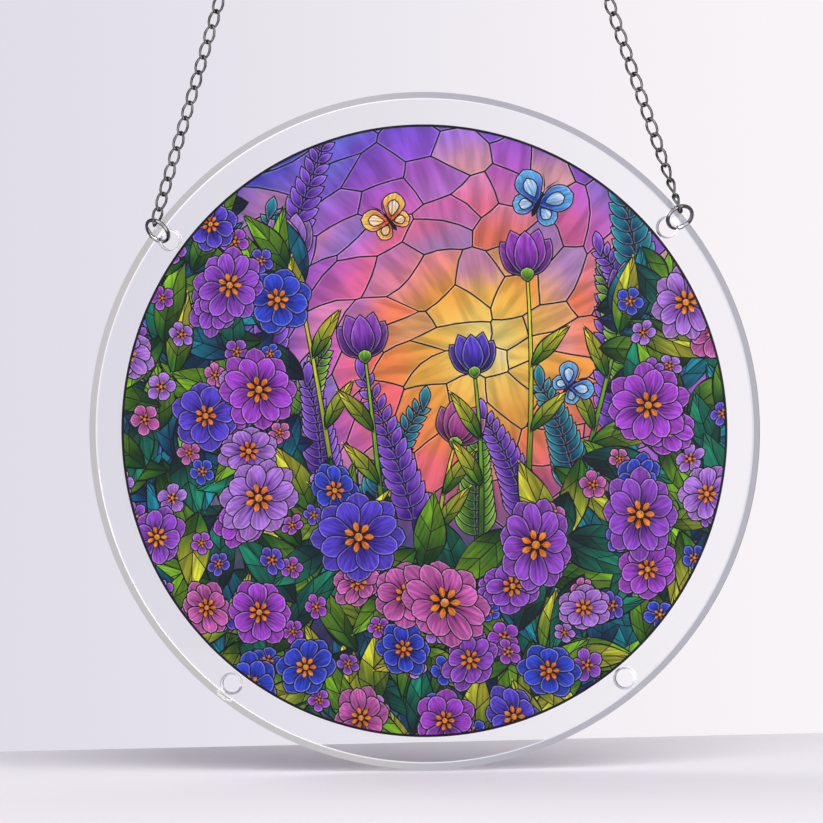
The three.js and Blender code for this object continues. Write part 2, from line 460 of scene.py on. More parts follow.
def grow(outline, by):
    """The same outline moved outwards everywhere, or inwards where by is negative."""
    grown = []
    for before, here, after in zip(outline[-1:] + outline, outline, outline[1:] + outline[:1]):
        run_in = (here - before).normalized()
        run_out = (after - here).normalized()
        run = run_in + run_out
        if run.length < HAIRPIN:
            run = run_out
        run.normalize()
        widen = min(LONGEST_MITRE, 1 / max(0.2, run.dot(run_out)))
        grown.append(here + Vector((run.y, -run.x)) * by * widen)
    return grown


def area(outline):
    return sum(a.x * b.y - b.x * a.y for a, b in zip(outline, outline[1:] + outline[:1])) / 2


def lay(outline, kind, root, tip, foot, run, half):
    """One flat piece of ink. foot, run and half give its own run and half width."""
    if area(outline) < SMALLEST_AREA:
        return
    shape = {"outline": outline, "kind": kind, "root": root, "tip": tip}
    shapes.append({**shape, "foot": foot, "run": run, "half": half, "seed": streaks.uniform(0, 50)})


def lay_lead(outline):
    lay(outline, KIND_LEAD, LEAD_INK, LEAD_INK, Vector((0, 0)), Vector((1, 0)), 1)


def lay_glass(outline, kind, root, tip, foot, run, half, glint=0.24):
    """A piece of glass in its lead: black outside, a pale line inside that, then its colour."""
    if area(outline) < 0:
        outline = outline[::-1]
    lay_lead(grow(outline, LEAD))
    if glint:
        pale = (root.lerp(WHITE_INK, glint * 0.6), tip.lerp(WHITE_INK, glint))
        lay(grow(outline, -LEAD / 2), kind, *pale, foot, run, half)
        outline = grow(outline, -GLINT)
    lay(grow(outline, -LEAD / 2), kind, root, tip, foot, run, half)


# %% [markdown]
# ### The sky
# Behind everything lies a sky of some two hundred pieces, gold and white round a glow, then
# orange, pink, lilac, violet and blue. A panel maker cuts such a sky from long curved offcuts.
# Scattered points share out the plane, each taking what is nearest to it, and a slow swirl and a
# wave bend the straight cuts.

# %% Sky colours
GLOW = Vector((20, 24))
SKY_STOPS = (
    (0, ink(255, 250, 214)),
    (9, ink(255, 236, 140)),
    (20, ink(255, 206, 84)),
    (31, ink(255, 160, 74)),
    (42, ink(250, 122, 128)),
    (54, ink(216, 112, 206)),
    (68, ink(150, 92, 222)),
    (84, ink(86, 84, 214)),
    (104, ink(44, 104, 222)),
    (140, ink(24, 60, 170)),
)
SKY_ACCENTS = (ink(250, 170, 200), ink(120, 150, 240), ink(200, 150, 245), ink(255, 205, 150))
DEEP_INKS = (ink(14, 28, 96), ink(8, 70, 104), ink(40, 22, 110), ink(6, 84, 84))
CLEAR_ROUND_GLOW = 26
ACCENT_SHARE = 0.3
DEEP_FROM = 12
DEEP_FADE = 30


def sky_ink(place):
    distance = (place - GLOW).length
    colour = SKY_STOPS[-1][1]
    for (near, near_ink), (far, far_ink) in zip(SKY_STOPS, SKY_STOPS[1:]):
        if near <= distance <= far:
            colour = near_ink.lerp(far_ink, (distance - near) / (far - near))
            break
    if distance > CLEAR_ROUND_GLOW and draw.random() < ACCENT_SHARE:
        colour = colour.lerp(draw.choice(SKY_ACCENTS), 0.6)
    colour = colour * draw.uniform(0.8, 1.12)
    depth = min(1, max(0, (-place.y - DEEP_FROM) / DEEP_FADE))
    return colour.lerp(draw.choice(DEEP_INKS), depth * 0.92)


# %% Cutting the sky
SKY_STEP = Vector((17, 9.5))
SKY_STRETCH = 1.6
SKY_REACH = 150
SKY_SCATTER = 0.36
SWIRL = 0.011
WAVE_LENGTH = 26
WAVE_HEIGHT = 6


def part_where(outline, past):
    """The part of an outline where past(place), a measure across a straight line, isn't above 0."""
    kept = []
    for a, b in zip(outline, outline[1:] + outline[:1]):
        here = past(a)
        there = past(b)
        if here <= 0:
            kept.append(a)
        if here * there < 0:
            kept.append(a.lerp(b, here / (here - there)))
    return kept


def nearer_part(outline, seed, other):
    """The part of an outline that lies nearer to seed than to other."""
    middle = (seed + other) / 2
    away = other - seed
    return part_where(outline, lambda place: (place - middle).dot(away))


def sky_bend(place):
    """The swirl about the glow and the slow wave that the sky's cuts follow."""
    from_glow = place - GLOW
    bent = GLOW + Matrix.Rotation(SWIRL * from_glow.length, 2) @ from_glow
    at = Vector((bent.x, bent.y, 0)) / WAVE_LENGTH
    wave = Vector((noise.noise(at), noise.noise(at + Vector((7, 3, 5)))))
    return bent + wave * WAVE_HEIGHT


def finer(outline, step):
    """The same outline with extra points, so that it can bend."""
    fine = []
    for a, b in zip(outline, outline[1:] + outline[:1]):
        pieces = max(1, round((b - a).length / step))
        fine += [a.lerp(b, i / pieces) for i in range(pieces)]
    return fine


def lay_sky():
    seeds = []
    rows, columns = (int(SKY_REACH / step) for step in (SKY_STEP.y, SKY_STEP.x))
    for row in range(-rows, rows + 1):
        for column in range(-columns, columns + 1):
            aside = draw.uniform(-SKY_SCATTER, SKY_SCATTER)
            x = (column + 0.5 * (row % 2) + aside) * SKY_STEP.x
            y = (row + draw.uniform(-SKY_SCATTER, SKY_SCATTER)) * SKY_STEP.y * SKY_STRETCH
            seeds.append(Vector((x, y)))
    near_enough = 60
    half = 40
    for seed in seeds:
        middle = sky_bend(Vector((seed.x, seed.y / SKY_STRETCH)))
        if middle.length > PRINT_RADIUS + 12:
            continue
        corners = ((-half, -half), (half, -half), (half, half), (-half, half))
        cell = [seed + Vector(corner) for corner in corners]
        for other in seeds:
            if other is not seed and (other - seed).length < near_enough:
                cell = nearer_part(cell, seed, other)
        cell = [Vector((p.x, p.y / SKY_STRETCH)) for p in cell]
        outline = [sky_bend(p) for p in finer(cell, 4)]
        outward = (middle - GLOW).normalized()
        root = sky_ink(middle)
        tip = sky_ink(middle + outward * 9)
        lay_sky_piece(grow(outline, -LEAD), root, tip, middle - outward * 8, outward * 16)


def lay_sky_piece(outline, root, tip, foot, run):
    if area(outline) < 2:
        return
    pale = (root.lerp(WHITE_INK, 0.16), tip.lerp(WHITE_INK, 0.14))
    lay(outline, KIND_SKY, *pale, foot, run, 8)
    lay(grow(outline, -GLINT), KIND_SKY, root, tip, foot, run, 8)


# %% [markdown]
# ### Petals, blossoms and cups
# One petal outline serves for every flower: it starts narrow at its foot, swells, and closes in a
# round or pointed tip, with a slight wave in its edge. An open blossom is a ring of petals, on a
# large one over a second, darker ring, seen a little from one side. A cup is a fan of petals seen
# from the side, as on a tulip, and a butterfly's wings are four broad petals.

# %% One petal
BROAD_PETAL = 7


def petal_outline(foot, run, width, power=1.25, blunt=0.62, bend=0, steps=7):
    if run.length > BROAD_PETAL:
        steps += 4
    side = left_of(run)
    left = []
    right = []
    for i in range(1, steps):
        t = i / steps
        half = width / 2 * math.sin(math.pi * t**power) ** blunt
        half *= 1 + 0.05 * math.sin(9 * t + run.x)
        middle = foot + run * t + side * bend * t * t
        left.append(middle + side * half)
        right.append(middle - side * half)
    tip = foot + run + side * bend
    return [foot] + right + [tip] + left[::-1]


def lay_petal(foot, run, width, root, tip, kind=KIND_PETAL, **shape):
    outline = petal_outline(foot, run, width, **shape)
    lay_glass(outline, kind, root, tip, foot, run, width / 2)


def lay_sliver(foot, run, width, bend=0):
    lay_lead(petal_outline(foot, run, width, power=0.5, blunt=1, bend=bend, steps=4))


# %% Blossoms
PETAL_INKS = (
    (ink(74, 10, 134), ink(178, 92, 232)),
    (ink(88, 8, 138), ink(200, 88, 240)),
    (ink(34, 12, 140), ink(108, 82, 236)),
    (ink(104, 26, 176), ink(206, 146, 246)),
    (ink(128, 12, 112), ink(232, 118, 206)),
    (ink(12, 16, 140), ink(58, 88, 236)),
)
HEART_INKS = (ink(230, 60, 20), ink(255, 170, 40))
DOUBLE_BLOSSOM = 6.5
PETAL_START = 0.12


def seen_aslant(place, centre, lean, squeeze):
    """A point of an open flower when the flower is turned a little away."""
    offset = place - centre
    along = lean * offset.dot(lean)
    return centre + (offset - along) + along * squeeze


def lay_blossom(centre, radius, petals, inks):
    root, tip = inks
    lean = Vector((math.cos(draw.uniform(0, 6.3)), math.sin(draw.uniform(0, 6.3)))).normalized()
    squeeze = draw.uniform(0.74, 1)
    start = draw.uniform(0, 6.3)
    for layer, (reach, shade) in enumerate(((1.0, 0.55), (0.86, 1.0))):
        if layer == 0 and radius < DOUBLE_BLOSSOM:
            continue
        for i in range(petals):
            angle = start + 2 * math.pi * (i + 0.5 * layer) / petals + draw.uniform(-0.06, 0.06)
            run = spin(angle) * radius * reach
            run *= draw.uniform(0.93, 1.05)
            width = 2.5 * radius * reach / petals**0.72
            foot = centre + run * PETAL_START
            outline = petal_outline(foot, run * (1 - PETAL_START), width, power=1.4, blunt=0.55)
            outline = [seen_aslant(p, centre, lean, squeeze) for p in outline]
            seen_run = seen_aslant(centre + run, centre, lean, squeeze) - centre
            shaded = (root * shade, tip * (0.45 + 0.55 * shade))
            lay_glass(outline, KIND_PETAL, *shaded, centre, seen_run, width / 2)
            if layer == 1 and radius > DOUBLE_BLOSSOM:
                lay_sliver(centre, seen_run * 0.62, 0.5)
    lay_heart(centre, radius * 0.2)


def lay_heart(centre, radius):
    """The warm middle of a blossom: a dark ring, a crown of drops and a bright bead."""
    drops = 7 if radius > 1.6 else 5
    lay_lead([centre + spin(i * math.pi / 6) * radius * 1.15 for i in range(12)])
    for i in range(drops):
        run = spin(2 * math.pi * i / drops) * radius * 1.7
        drop = petal_outline(centre + run * 0.3, run * 0.62, radius * 0.6, power=1.2, steps=5)
        lay(grow(drop, 0.12), KIND_LEAD, LEAD_INK, LEAD_INK, centre, run, 1)
        lay(drop, KIND_PETAL, *HEART_INKS, centre, run, radius)
    bead = [centre + spin(i * math.pi / 4) * radius * 0.42 for i in range(8)]
    lay(bead, KIND_PETAL, HEART_INKS[1], WHITE_INK * 0.9, centre, Vector((0, radius)), radius)


# %% Cups and butterflies
def lay_cup(foot, way, size, inks):
    root, tip = inks
    fan = ((-0.62, 0.9, 0.5), (0.62, 0.9, 0.5), (-0.3, 1.0, 0.8), (0.3, 1.0, 0.8), (0, 0.93, 1))
    for angle, reach, shade in fan:
        run = Matrix.Rotation(angle, 2) @ way * size * reach
        lay_petal(foot, run, size * 0.52, root * shade, tip * shade, power=0.95, blunt=0.8)
    lay_petal(foot - way * size * 0.12, way * size * 0.3, size * 0.3, *LEAF_INKS[1], kind=KIND_LEAF)


WING_INKS = ((ink(20, 70, 200), ink(110, 200, 250)), (ink(230, 80, 30), ink(255, 214, 90)))


def lay_butterfly(centre, way, size, inks):
    root, tip = inks
    wings = ((2.0, 0.75, 0.62), (-2.0, 0.75, 0.62), (0.85, 1.1, 0.8), (-0.85, 1.1, 0.8))
    for angle, reach, width in wings:
        run = Matrix.Rotation(angle, 2) @ way * size * reach
        lay_petal(centre, run, size * width, root, tip, power=1.5, blunt=0.6)
        inner = petal_outline(centre + run * 0.2, run * 0.55, size * width * 0.5, power=1.4)
        lay_glass(inner, KIND_PETAL, tip, WHITE_INK * 0.95, centre, run, size * width / 2, 0)
    lay_sliver(centre - way * size * 0.42, way * size * 0.95, size * 0.16)
    for side in (-1, 1):
        feeler = Matrix.Rotation(0.35 * side, 2) @ way * size * 0.55
        lay_sliver(centre + way * size * 0.45, feeler, 0.4, bend=size * 0.1 * side)


# %% [markdown]
# ### Leaves and fronds
# A leaf is cut along its midrib, and each half again along slanting side veins, with the two
# halves in different greens so that it looks folded. Fronds are thin curved stems with pairs of
# small leaves, and reach up into the sky.

# %% A leaf
LEAF_INKS = (
    (ink(0, 58, 62), ink(22, 160, 120)),
    (ink(10, 84, 26), ink(150, 214, 36)),
    (ink(48, 124, 20), ink(240, 238, 64)),
    (ink(0, 52, 100), ink(24, 170, 190)),
    (ink(6, 34, 58), ink(40, 104, 84)),
)
LEAF_CUT = 0.17


def lay_leaf(foot, run, width, inks, bend=0, cuts=4):
    root, tip = inks
    side = left_of(run)
    whole = petal_outline(foot, run, width, power=0.85, blunt=1.0, bend=bend, steps=9)
    lay_lead(grow(whole, LEAD))

    def edge(t, way):
        t = min(1, max(0, t))
        half = width / 2 * math.sin(math.pi * t**0.85)
        return foot + run * t + side * (bend * t * t + way * half)

    slant = 0.16
    for way, shade in ((-1, 0.62), (1, 1)):
        for i in range(cuts):
            start = i / cuts
            end = (i + 1) / cuts
            inside = [edge(start + (end - start) * j / 2, 0) for j in range(3)]
            last = 1 if i == cuts - 1 else end + slant
            first = 0 if i == 0 else start + slant
            outside = [edge(last + (first - last) * j / 3, way) for j in range(4)]
            piece = inside + outside
            if area(piece) < 0:
                piece = piece[::-1]
            tone = 0.82 + 0.3 * ((i + (way > 0)) % 2)
            toned = (root * shade * tone, tip * shade * tone)
            lay(grow(piece, -LEAF_CUT), KIND_LEAF, *toned, foot, run, width / 2)


# %% Stems and fronds
FROND_LEAF = {"kind": KIND_LEAF, "blunt": 0.8, "steps": 5}


def stem_point(foot, run, bend, t):
    side = left_of(run)
    return foot + run * t + side * bend * t * t


def lay_stem(foot, run, bend, width, inks):
    steps = 9
    side = left_of(run)
    line = [stem_point(foot, run, bend, i / steps) for i in range(steps + 1)]
    taper = [width / 2 * (1 - 0.6 * i / steps) for i in range(steps + 1)]
    right = [p - side * w for p, w in zip(line, taper)]
    left = [p + side * w for p, w in zip(line, taper)]
    lay_glass(right + left[::-1], KIND_LEAF, inks[0], inks[1], foot, run, width / 2, 0)


def lay_frond(foot, run, bend, inks, pairs, size):
    lay_stem(foot, run, bend, 1.1, inks)
    for i in range(pairs):
        t = 0.22 + 0.76 * i / pairs
        at = stem_point(foot, run, bend, t)
        ahead = (stem_point(foot, run, bend, t + 0.02) - at).normalized()
        reach = size * (1.15 - 0.75 * t)
        for side in (-1, 1):
            way = Matrix.Rotation(side * 0.72, 2) @ ahead
            lay_petal(at, way * reach, reach * 0.46, *inks, power=1.0, **FROND_LEAF)
    tip = stem_point(foot, run, bend, 1)
    ahead = run.normalized() * size
    lay_petal(tip - ahead * 0.3, ahead * 0.8, size * 0.34, *inks, **FROND_LEAF)


# %% [markdown]
# ### The layout
# The garden is a crescent that starts high on the left, sweeps through the bottom and ends at the
# right, open towards the glow. Fronds, and cups on tall stems, stand up behind it. Then come
# leaves, dark ones first, then small, middling and large blossoms. The large ones follow the
# crescent's own arc, and the rest fill it with an even scatter.

# %% Places along the crescent
CRESCENT_CENTRE = Vector((10, 20))
CRESCENT_RADIUS = 66
CRESCENT_START = math.radians(148)
CRESCENT_END = math.radians(386)


def on_crescent(share, offset=0):
    """A place on the arc: share runs from its left end to its right end."""
    angle = CRESCENT_START + (CRESCENT_END - CRESCENT_START) * share
    return CRESCENT_CENTRE + spin(angle) * (CRESCENT_RADIUS + offset)


GARDEN_EDGE = 52
GARDEN_SCATTER = 0.38


def garden_places(spacing):
    """Scattered places outside the crescent's inner edge and inside the picture."""
    found = []
    steps = range(-int(PRINT_RADIUS / spacing) - 1, int(PRINT_RADIUS / spacing) + 2)
    for row in steps:
        for column in steps:
            aside = draw.uniform(-GARDEN_SCATTER, GARDEN_SCATTER)
            scatter = Vector((aside, draw.uniform(-GARDEN_SCATTER, GARDEN_SCATTER)))
            place = (Vector((column + 0.5 * (row % 2), row)) + scatter) * spacing
            offset = place - CRESCENT_CENTRE
            angle = math.atan2(offset.y, offset.x) % (2 * math.pi)
            angle += 2 * math.pi * (angle < CRESCENT_START - 0.2)
            in_garden = CRESCENT_START - 0.1 < angle < CRESCENT_END
            if in_garden and offset.length > GARDEN_EDGE and place.length < PRINT_RADIUS + 4:
                found.append(place)
    draw.shuffle(found)
    return found


# %% Lay the border and the sky
BORDER = 0.75
circle = [spin(2 * math.pi * i / PLATE_SIDES) for i in range(PLATE_SIDES)]
for radius in (PRINT_RADIUS, PRINT_RADIUS - BORDER):
    lay_lead([p * radius for p in circle])
lay_sky()
print("sky shapes:", len(shapes))

# %% Lay what stands behind: fronds, cups and butterflies
FRONDS = 14
VIOLET_FROND = (ink(64, 16, 150), ink(168, 104, 244))
FROND_INKS = (VIOLET_FROND, LEAF_INKS[3], VIOLET_FROND, LEAF_INKS[1])
CUP_TOPS = ((-50, 28), (-33, 52), (-15, 22), (3, -4), (22, 16), (40, 44), (60, 36), (-62, 6))
CUP_INKS = (1, 3, 0, 4, 2, 1, 0)
BUTTERFLIES = (((36, 66), 1.1, 10, 0), ((-8, 62), 2.2, 8, 1), ((44, 12), 0.7, 7, 0))
draw.seed(21)
for i in range(FRONDS):
    share = 0.06 + 0.068 * i
    lean = math.radians(90 - 22 * (1 - 2 * share) + draw.uniform(-9, 9))
    run = spin(lean) * draw.uniform(38, 66)
    lay_frond(on_crescent(share, -6), run, draw.uniform(-12, 12), FROND_INKS[i % 4], 12, 9.5)
for i, (across, height) in enumerate(CUP_TOPS):
    way = (-1) ** i
    foot = Vector((across * 0.72, -52 + abs(across) * 0.35))
    run = Vector((across, height)) - foot
    bend = draw.uniform(-9, 9)
    lay_stem(foot, run, bend, 1.8, LEAF_INKS[1 + i % 2])
    leaf_run = Matrix.Rotation(0.5 * way, 2) @ run.normalized() * 17
    for t in (0.45, 0.68):
        lay_leaf(stem_point(foot, run, bend, t), leaf_run, 4.6, LEAF_INKS[2], 2.5 * way, 3)
    top = stem_point(foot, run, bend, 1)
    ahead = (top - stem_point(foot, run, bend, 0.9)).normalized()
    lay_cup(top, ahead, draw.uniform(12, 14.5), PETAL_INKS[CUP_INKS[i % len(CUP_INKS)]])
for place, angle, size, wings in BUTTERFLIES:
    lay_butterfly(Vector(place), spin(angle), size, WING_INKS[wings])

# %% Lay the garden: leaves, then blossoms, small ones first
LEAF_LAYERS = ((4, 0, 3), (0, 3, 1), (1, 2, 3), (2, 1, 0))
LEAF_SPACING = 13.5
SMALL_SPACING = 14
MIDDLING_SPACING = 23
LARGE_BLOSSOMS = 9
for layer, choice in enumerate(LEAF_LAYERS):
    for place in garden_places(LEAF_SPACING):
        way = (place - CRESCENT_CENTRE).normalized()
        way = Matrix.Rotation(draw.uniform(-1.5, 1.5), 2) @ way
        if layer > 0 and draw.random() < 0.4:
            way = Matrix.Rotation(draw.uniform(-0.7, 0.7), 2) @ Vector((0, 1))
        inks = LEAF_INKS[draw.choice(choice)]
        run = way * draw.uniform(19, 29)
        width = draw.uniform(7, 10.5)
        lay_leaf(place - way * 10, run, width, inks, draw.uniform(-6, 6))
for place in garden_places(SMALL_SPACING):
    lay_blossom(place, draw.uniform(4.2, 6), 5, draw.choice(PETAL_INKS))
for place in garden_places(MIDDLING_SPACING):
    lay_blossom(place, draw.uniform(8.5, 11), 6, draw.choice(PETAL_INKS))
for i in range(LARGE_BLOSSOMS):
    share = 0.05 + 0.112 * i
    radius = 15.5 - 10 * abs(share - 0.5) ** 1.2
    inks = PETAL_INKS[(0, 1, 3, 2, 4, 0)[i % 6]]
    lay_blossom(on_crescent(share, (5, -7)[i % 2]), radius, 8, inks)
print("shapes laid:", len(shapes))


# %% [markdown]
# ### Cutting and fitting the picture
# The outlines are cut into each other by a flat triangulation, in which no small triangle crosses
# an outline, and for each triangle the last outline laid over its middle is the one on top. Most
# outlines are partly hidden, and thousands of them crossing at once would take minutes. So shapes
# that show nowhere are dropped first, by looking at a fine grid of points, and the rest is cut
# square by square, as a large panel is.

# %% Which shape is on top
def is_inside(outline, x, y):
    """For each point, whether it lies inside: an odd number of edges is beside it."""
    a = outline[:, :, None]
    b = np.roll(outline, -1, axis=0)[:, :, None]
    rise = np.where(a[:, 1] == b[:, 1], 1, b[:, 1] - a[:, 1])
    level = (a[:, 1] > y) != (b[:, 1] > y)
    beside = x < a[:, 0] + (y - a[:, 1]) * (b[:, 0] - a[:, 0]) / rise
    return (level & beside).sum(axis=0) % 2 == 1


def as_array(outline):
    return np.array([tuple(p) for p in outline])


def top_shapes(outlines, points):
    """For each point, the number of the last outline that covers it, or -1."""
    on_top = np.full(len(points), -1)
    for number, outline in outlines:
        near = ((points > outline.min(axis=0)) & (points < outline.max(axis=0))).all(axis=1)
        near = np.nonzero(near)[0]
        if len(near):
            x, y = points[near].T
            on_top[near[is_inside(outline, x, y)]] = number
    return on_top


POINT_SPACING = 0.3


def shapes_that_show():
    steps = np.arange(-PRINT_RADIUS, PRINT_RADIUS, POINT_SPACING)
    rows = np.full((len(steps), len(steps)), -1)
    for number, shape in enumerate(shapes):
        outline = as_array(shape["outline"])
        first = np.searchsorted(steps, outline.min(axis=0))
        last = np.searchsorted(steps, outline.max(axis=0))
        x, y = np.meshgrid(steps[first[0]:last[0]], steps[first[1]:last[1]])
        part = rows[first[1]:last[1], first[0]:last[0]]
        if part.size:
            part[is_inside(outline, x.ravel(), y.ravel()).reshape(part.shape)] = number
    return [number for number in np.unique(rows) if number >= 0]


# %% Cut one square
def part_before(outline, axis, limit, way):
    """The part of an outline on one side of a straight line along x or y."""
    kept = []
    for a, b in zip(outline, outline[1:] + outline[:1]):
        here = (a[axis] - limit) * way
        there = (b[axis] - limit) * way
        if here <= 0:
            kept.append(a)
        if here * there < 0 and way > 0:
            kept.append(a.lerp(b, here / (here - there)))
        elif here * there < 0:
            kept.append(b.lerp(a, there / (there - here)))
    return kept


def parts_between(outlines, axis, low, high):
    """What the numbered outlines have between two lines square to one axis."""
    parts = []
    for number, outline in outlines:
        part = part_before(part_before(outline, axis, high, 1), axis, low, -1)
        if len(part) > 2:
            parts.append((number, part))
    return parts


def cut_square(square):
    """One square's corners and triangles, and for each triangle the shape on top."""
    points = [p for number, outline in square for p in outline]
    faces = []
    for number, outline in square:
        first = faces[-1][-1] + 1 if faces else 0
        faces.append(list(range(first, first + len(outline))))
    found = delaunay_2d_cdt(points, [], faces, 1, 1e-6, True)
    corners = as_array(found[0])
    triangles = [(face[0], b, c) for face in found[2] for b, c in zip(face[1:], face[2:])]
    triangles = np.array(triangles, int).reshape(-1, 3)
    outlines = [(number, as_array(outline)) for number, outline in square]
    return corners, triangles, top_shapes(outlines, corners[triangles].mean(axis=1))


# %% Cut the whole picture
SQUARES_ACROSS = 18


def cut_pieces():
    showing = [(number, shapes[number]["outline"]) for number in shapes_that_show()]
    print("shapes that show:", len(showing))
    side = 2 * PRINT_RADIUS / SQUARES_ACROSS
    edges = [-PRINT_RADIUS + side * i for i in range(SQUARES_ACROSS + 1)]
    parts = []
    laid = 0
    for left, right in zip(edges, edges[1:]):
        column = parts_between(showing, 0, left, right)
        for low, high in zip(edges, edges[1:]):
            square = parts_between(column, 1, low, high)
            if square:
                corners, triangles, tops = cut_square(square)
                parts.append((corners, triangles + laid, tops))
                laid += len(corners)
    return [np.concatenate(every) for every in zip(*parts)]


corners, triangles, on_top = cut_pieces()
print("corners:", len(corners), "triangles:", len(triangles))

# %% [markdown]
# Every triangle now gets its shape's number as its material number. Merging the corners along the
# squares' edges and a limited dissolve that stops at a change of material then leave only a few
# flat faces for each piece of ink, and the colours go onto those faces.

# %% Fuse the picture into one mesh
INK_DEPTH = 0.03 * MM
picture_centre = PLATE_CENTRE + Vector((0, HALF_PLATE - INK_DEPTH, 0))


def fuse_pieces():
    """A flat mesh with one face, or a few, for each piece of ink, numbered by its shape."""
    middles = corners[triangles].mean(axis=1)
    from_centre = np.hypot(*middles.T)
    owners = np.where(from_centre > PRINT_RADIUS - BORDER, 0, on_top)
    kept = (owners >= 0) & (from_centre < PRINT_RADIUS)
    mesh = bpy.data.meshes.new("printed_picture")
    places = np.stack((corners[:, 0], 0 * corners[:, 0], corners[:, 1]), axis=1) * MM
    places += np.array(picture_centre)
    mesh.from_pydata(places.tolist(), [], triangles[kept].tolist())
    mesh.polygons.foreach_set("material_index", owners[kept].astype(np.int32))
    picture = bpy.data.objects.new("printed_picture", mesh)
    bpy.context.collection.objects.link(picture)
    pick(picture)
    bpy.ops.object.mode_set(mode="EDIT")
    bpy.ops.mesh.select_all(action="SELECT")
    bpy.ops.mesh.remove_doubles(threshold=0.0005 * MM)
    bpy.ops.mesh.dissolve_limited(angle_limit=math.radians(1), delimit={"MATERIAL"})
    bpy.ops.object.mode_set(mode="OBJECT")
    return picture


picture = fuse_pieces()
report(picture)


# %% Colour the pieces
def values_of(data, field, form, width=1):
    values = np.empty(len(data) * width, form)
    data.foreach_get(field, values)
    return values


def colour_pieces(picture):
    mesh = picture.data
    owners = values_of(mesh.polygons, "material_index", np.int32)
    mesh.polygons.foreach_set("material_index", np.zeros(len(owners), np.int32))
    owners = owners.repeat(values_of(mesh.polygons, "loop_total", np.int32))
    places = values_of(mesh.vertices, "co", float, 3).reshape(-1, 3) - np.array(picture_centre)
    places = places[values_of(mesh.loops, "vertex_index", np.int32)][:, [0, 2]] / MM

    def owned(field):
        """What the shape that owns each corner says in one field."""
        return np.array([np.array(shape[field]) for shape in shapes], float)[owners]

    run = owned("run")
    length = np.hypot(*run.T)
    offset = places - owned("foot")
    along = (offset * run).sum(axis=1) / length**2
    aside = (offset[:, 1] * run[:, 0] - offset[:, 0] * run[:, 1]) / length / owned("half")
    for name, form, field, values in (
        ("root", "FLOAT_COLOR", "color", np.insert(owned("root"), 3, 1, axis=1)),
        ("tip", "FLOAT_COLOR", "color", np.insert(owned("tip"), 3, 1, axis=1)),
        ("run", "FLOAT_VECTOR", "vector", np.stack((along, aside, owned("seed")), axis=1)),
        ("kind", "FLOAT", "value", owned("kind")),
    ):
        made = mesh.attributes.new(name, form, "CORNER")
        made.data.foreach_set(field, values.astype(np.float32).ravel())


colour_pieces(picture)
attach(picture, "root")
print("layers:", picture.data.attributes.keys())

# %% [markdown]
# ## Finishes
# Clear acrylic is a shader that lets light through, with the index of the real plastic. Ink on a
# clear plate shows light from both sides, so its shader is half one that sends light back and half
# one that lets light through. Wire is bare metal: nearly all of what it shows is reflection, with
# a slight unevenness from drawing and plating.

# %% Node helpers
def new_finish(name):
    finish = bpy.data.materials.new(name)
    finish.use_nodes = True
    tree = finish.node_tree
    return finish, tree, tree.nodes["Principled BSDF"]


def add_node(tree, kind, inputs=None, **settings):
    """A node with its settings, and its inputs from values or from other nodes' outputs."""
    node = tree.nodes.new(kind)
    for name, value in settings.items():
        setattr(node, name, value)
    for name, value in (inputs or {}).items():
        if isinstance(value, bpy.types.NodeSocket):
            tree.links.new(value, node.inputs[name])
        else:
            node.inputs[name].default_value = value
    return node


def maths(tree, operation, *values):
    node = add_node(tree, "ShaderNodeMath", dict(enumerate(values)), operation=operation)
    return node.outputs[0]


def mixed(tree, factor, first, second, blend="MIX"):
    inputs = {0: factor, 6: first, 7: second}
    return add_node(
        tree, "ShaderNodeMix", inputs, data_type="RGBA", blend_type=blend
    ).outputs[2]


def between(tree, value, low, high, low_to, high_to):
    inputs = {0: value, 1: low, 2: high, 3: low_to, 4: high_to}
    return add_node(
        tree, "ShaderNodeMapRange", inputs, interpolation_type="SMOOTHSTEP"
    ).outputs[0]


def cloud(tree, place, scale, detail):
    inputs = {"Vector": place, "Scale": scale, "Detail": detail}
    return add_node(tree, "ShaderNodeTexNoise", inputs).outputs[0]


def own_place(tree):
    return add_node(tree, "ShaderNodeTexCoord").outputs["Object"]


# %% Clear acrylic
ACRYLIC_IOR = 1.49


def acrylic_finish():
    finish, tree, shader = new_finish("clear_acrylic")
    shader.inputs["Base Color"].default_value = (0.985, 0.99, 1, 1)
    shader.inputs["Transmission Weight"].default_value = 1
    shader.inputs["IOR"].default_value = ACRYLIC_IOR
    haze = cloud(tree, own_place(tree), 60, 3)
    tree.links.new(between(tree, haze, 0.35, 0.8, 0.0, 0.03), shader.inputs["Roughness"])
    return finish


plate.data.materials.append(acrylic_finish())

# %% Steel wire
RING_GREYS = ((0.52, 0.515, 0.51, 1), (0.74, 0.73, 0.72, 1))
CHAIN_GREYS = ((0.2, 0.195, 0.19, 1), (0.36, 0.355, 0.35, 1))


def steel_finish(name, greys, smoothest, roughest, grain):
    finish, tree, shader = new_finish(name)
    shader.inputs["Metallic"].default_value = 1
    place = own_place(tree)
    patches = cloud(tree, place, 260, 4)
    tone = mixed(tree, between(tree, patches, 0.35, 0.65, 0, 1), *greys)
    rough = between(tree, patches, 0.3, 0.7, smoothest, roughest)
    height = cloud(tree, place, grain, 5)
    inputs = {"Height": height, "Strength": 0.12, "Distance": 0.04 * MM}
    bump = add_node(tree, "ShaderNodeBump", inputs).outputs[0]
    for value, socket in ((tone, "Base Color"), (rough, "Roughness"), (bump, "Normal")):
        tree.links.new(value, shader.inputs[socket])
    return finish


ring_steel = steel_finish("plated_ring_steel", RING_GREYS, 0.06, 0.15, 2400)
chain_steel = steel_finish("dark_chain_steel", CHAIN_GREYS, 0.1, 0.2, 3200)
for ring in rings:
    ring.data.materials.append(ring_steel)
for strand in strands + [top_link]:
    strand.data.materials.append(chain_steel)

